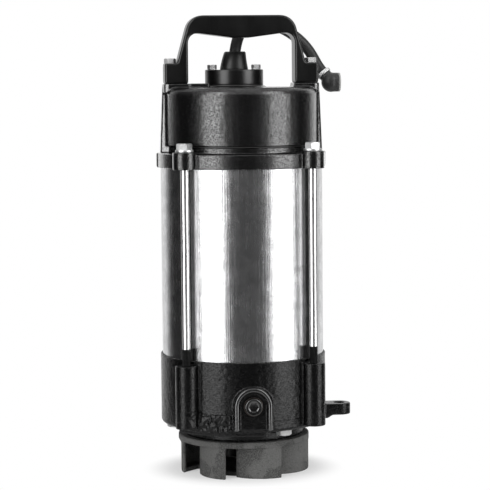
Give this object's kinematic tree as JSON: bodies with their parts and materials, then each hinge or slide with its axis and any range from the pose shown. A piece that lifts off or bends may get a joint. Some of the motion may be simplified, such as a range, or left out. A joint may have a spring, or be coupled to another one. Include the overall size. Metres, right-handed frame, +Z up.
{
  "type": "submersible sump pump",
  "caption": "Submersible drainage pump: strainer foot, cast casing, steel motor tube held by tie bolts, carrying handle and a short lead.",
  "frame": {"origin": "on the shaft axis at the underside of the strainer", "axes": "+Z up along the shaft towards the handle; +Y towards the discharge port at the back, so the front with the drain plug faces -Y; +X to the right, towards the fixing ear"},
  "size_m": [0.1911, 0.1932, 0.4414],
  "materials": {
    "strainer_grey": "matt grey paint over a coarse casting",
    "stainless": "plain turned stainless steel",
    "cast_paint": "glossy black paint over cast iron, fine orange peel",
    "bolt_steel": "bright zinc-plated steel",
    "copper": "copper, varnished on the windings",
    "rubber": "matt black rubber",
    "carbon": "dark sintered carbon",
    "brushed_tube": "drawn stainless tube with a fine lengthwise sheen",
    "core_steel": "grey varnished lamination steel",
    "insulation": "matt black insulating plastic",
    "wire_red": "red wire insulation",
    "wire_blue": "blue wire insulation",
    "cover_paint": "satin black paint with fine speckle",
    "handle_plastic": "satin black moulded plastic",
    "lead_rubber": "satin black rubber sheath",
    "connector_plastic": "dark grey moulded plastic",
    "brass": "machined brass",
    "bearing_steel": "ground bearing steel",
    "rotor_aluminium": "die-cast aluminium",
    "impeller_iron": "grey cast iron"
  },
  "bodies": {
    "root": {"strainer": "strainer_grey", "strainer_screws": "stainless", "suction_plate": "cast_paint", "suction_plate_bolts": "bolt_steel", "pump_casing": "cast_paint", "drain_plug": "bolt_steel", "drain_plug_washer": "copper", "seal_plate": "cast_paint", "seal_plate_screws": "bolt_steel", "casing_o_ring": "rubber", "seal_housing": "cast_paint", "seal_seat": "carbon", "lip_seal": "rubber", "lower_tube_o_ring": "rubber", "motor_tube": "brushed_tube", "stator_core": "core_steel", "stator_windings": "copper", "thermal_protector": "insulation", "upper_bracket": "cast_paint", "upper_tube_o_ring": "rubber", "tie_bolts": "bolt_steel", "tie_washers": "bolt_steel", "terminal_block": "insulation", "motor_leads": "wire_red", "cable_cores": "wire_blue", "cover_gasket": "rubber", "top_cover": "cover_paint", "handle": "handle_plastic", "handle_bolts": "bolt_steel", "gland_gasket": "rubber", "gland_flange": "cover_paint", "gland_screws": "bolt_steel", "gland_boot": "rubber", "lead_inner_end": "lead_rubber", "lead": "lead_rubber", "connector_nut": "bolt_steel", "connector_body": "connector_plastic", "connector_rim": "bolt_steel", "connector_pins": "brass", "lower_bearing_outer_ring": "bearing_steel", "upper_bearing_outer_ring": "bearing_steel"},
    "rotor": {"shaft": "stainless", "rotor_core": "core_steel", "rotor_end_rings": "rotor_aluminium", "impeller": "impeller_iron", "impeller_key": "stainless", "impeller_washer": "stainless", "impeller_nut": "stainless", "seal_ring": "stainless", "seal_bellows": "rubber", "lower_bearing_inner_ring": "bearing_steel", "upper_bearing_inner_ring": "bearing_steel"},
    "lower_cage": {"lower_bearing_cage": "brass", "lower_bearing_balls": "bearing_steel"},
    "upper_cage": {"upper_bearing_cage": "brass", "upper_bearing_balls": "bearing_steel"}
  },
  "joints": [
    {"name": "shaft_spin", "type": "hinge", "parent": "root", "child": "rotor", "pos_m": [0, 0, 0.1], "axis": [0, 0, 1], "continuous": true},
    {"name": "lower_cage_spin", "type": "hinge", "parent": "root", "child": "lower_cage", "pos_m": [0, 0, 0.124], "axis": [0, 0, 1], "continuous": true},
    {"name": "upper_cage_spin", "type": "hinge", "parent": "root", "child": "upper_cage", "pos_m": [0, 0, 0.291], "axis": [0, 0, 1], "continuous": true}
  ],
  "couplings": [
    {"joint": "lower_cage_spin", "follows": "shaft_spin", "ratio": 0.3815},
    {"joint": "upper_cage_spin", "follows": "shaft_spin", "ratio": 0.3816}
  ]
}
